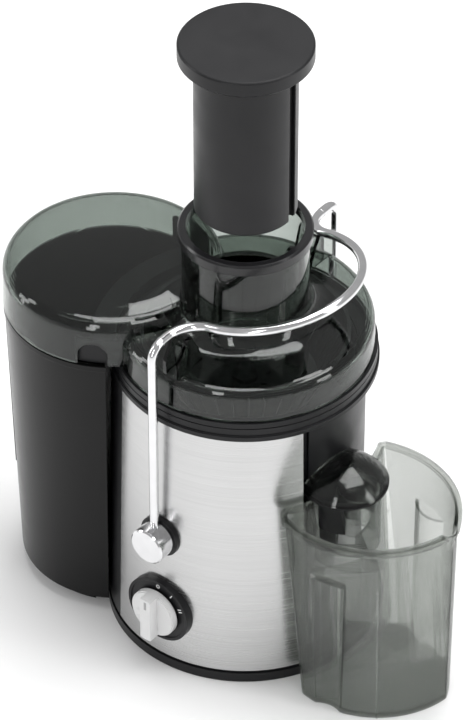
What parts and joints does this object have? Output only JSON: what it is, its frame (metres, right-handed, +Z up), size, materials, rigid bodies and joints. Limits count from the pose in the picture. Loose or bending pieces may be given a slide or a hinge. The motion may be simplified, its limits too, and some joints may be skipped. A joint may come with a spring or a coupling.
{
  "type": "centrifugal juicer",
  "caption": "Centrifugal juicer with a wide feed tube and pusher, hinged locking arm, speed knob, side pulp container and clear juice jug under a hooded spout.",
  "frame": {"origin": "on the motor axis, in the plane the machine stands on", "axes": "+Z up along the motor axis, -Y the front with the speed knob, +X towards the spout and jug"},
  "size_m": [0.3362, 0.2063, 0.444],
  "materials": {
    "housing_plastic": "black satin moulding with a fine even grain",
    "container_plastic": "black, smooth semi-gloss",
    "smoke_clear": "smoke grey-green clear moulding, glossy",
    "jug_clear": "pale grey-green clear moulding, glossy",
    "body_steel": "fine lines brushed round the body",
    "chrome": "polished chrome plate",
    "knob_plastic": "silver-white satin",
    "mark_black": "black inlaid line",
    "white_plastic": "off-white moulding",
    "coupling_plastic": "black nylon",
    "basket_steel": "pressed stainless sheet, lightly brushed",
    "machine_steel": "turned and pressed steel",
    "lamination_steel": "varnished stacked sheet",
    "copper": "enamelled copper",
    "carbon": "pressed carbon",
    "rubber_black": "black rubber"
  },
  "bodies": {
    "base_unit": {"base_ring": "housing_plastic", "bottom_plate": "housing_plastic", "rubber_feet": "rubber_black", "bottom_screws": "machine_steel", "housing": "housing_plastic", "upper_housing": "housing_plastic", "steel_wrap": "body_steel", "apron_panel": "housing_plastic", "trim_ring": "housing_plastic", "motor_top_bracket": "machine_steel", "motor_low_bracket": "machine_steel", "motor_bolts": "machine_steel", "motor_dampers": "rubber_black", "stator": "lamination_steel", "stator_coils": "copper", "stator_posts": "housing_plastic", "carbon_brushes": "carbon", "brush_holders": "copper", "low_bearing": "machine_steel", "top_bearing": "machine_steel", "shaft_seal": "rubber_black", "juice_bowl": "housing_plastic", "bowl_seal": "rubber_black", "lid": "smoke_clear", "tube_mouth": "container_plastic", "spout_trough": "housing_plastic", "spout_hood": "smoke_clear", "spout_tube": "smoke_clear", "dial_plate": "housing_plastic", "dial_marks": "knob_plastic", "rotary_switch": "white_plastic", "interlock_switch": "white_plastic", "cord_gland": "rubber_black", "pivot_bushes": "housing_plastic"},
    "rotor": {"motor_shaft": "machine_steel", "cooling_fan": "coupling_plastic", "commutator": "copper", "armature": "lamination_steel", "armature_windings": "copper", "drive_coupling": "coupling_plastic", "basket_hub": "white_plastic", "grater_disc": "basket_steel", "basket_nut": "basket_steel", "strainer_basket": "basket_steel"},
    "locking_arm": {"arm_rod": "chrome", "pivot_knobs": "chrome", "pivot_pins": "machine_steel", "pin_clips": "machine_steel", "lock_cam": "white_plastic"},
    "speed_control": {"speed_knob": "knob_plastic", "knob_pointer": "mark_black", "knob_spindle": "machine_steel"},
    "pusher": {"pusher_stem": "container_plastic", "pusher_cap": "container_plastic"},
    "pulp_bin": {"pulp_container": "container_plastic", "pulp_handle": "container_plastic"},
    "jug": {"juice_jug": "jug_clear"}
  },
  "joints": [
    {"name": "rotor_spin", "type": "hinge", "parent": "base_unit", "child": "rotor", "pos_m": [0, 0, 0.1], "axis": [0, 0, 1], "continuous": true},
    {"name": "pusher_slide", "type": "slide", "parent": "base_unit", "child": "pusher", "axis": [0, 0, 1], "range_m": [-0.1272, 0.05]},
    {"name": "arm_swing", "type": "hinge", "parent": "base_unit", "child": "locking_arm", "pos_m": [0, 0, 0.1085], "axis": [0, 1, 0], "range_deg": [0, 50]},
    {"name": "speed_turn", "type": "hinge", "parent": "base_unit", "child": "speed_control", "pos_m": [0, 0, 0.047], "axis": [0, 1, 0], "range_deg": [0, 66]},
    {"name": "pulp_bin_slide", "type": "slide", "parent": "base_unit", "child": "pulp_bin", "axis": [-0.9816, -0.1908, 0], "range_m": [0, 0.12]},
    {"name": "jug_slide", "type": "slide", "parent": "base_unit", "child": "jug", "axis": [0.9945, -0.1045, 0], "range_m": [0, 0.1]}
  ]
}
